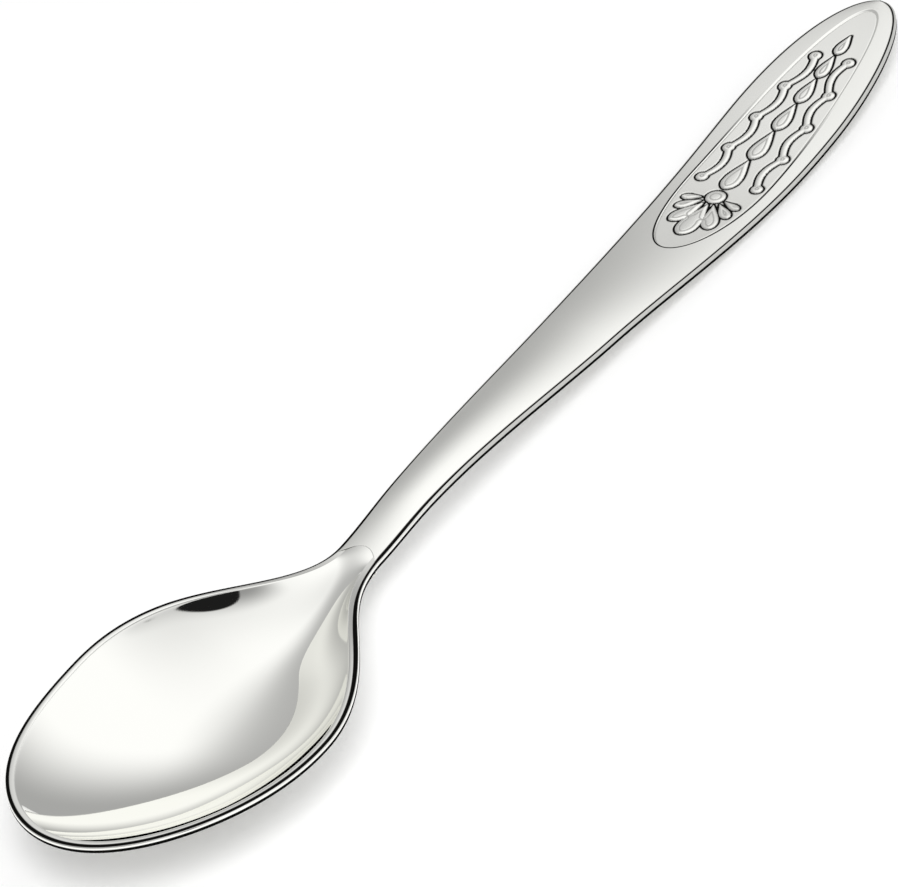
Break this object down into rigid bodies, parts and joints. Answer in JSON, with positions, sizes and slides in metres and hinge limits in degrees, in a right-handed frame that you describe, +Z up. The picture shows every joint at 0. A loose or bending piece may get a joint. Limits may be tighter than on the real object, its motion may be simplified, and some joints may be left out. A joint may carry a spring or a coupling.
{
  "type": "dessert spoon",
  "caption": "Dessert spoon with an egg-shaped polished bowl, a lapped neck and a tapering satin handle whose lancet-shaped grip holds a sunk ornament panel.",
  "frame": {"origin": "middle of the spoon's length and width, on the table it lies on", "axes": "+X along the spoon from the bowl's tip to the handle's tip, +Z up out of the bowl"},
  "size_m": [0.18, 0.0368, 0.0103],
  "materials": {
    "mirror_polish": "mirror polished",
    "satin_polish": "satin polished",
    "struck_satin": "struck and satin polished, dark in the lines"
  },
  "bodies": {
    "root": {"bowl": "mirror_polish", "handle": "satin_polish", "ornament_panel": "struck_satin"}
  },
  "joints": []
}
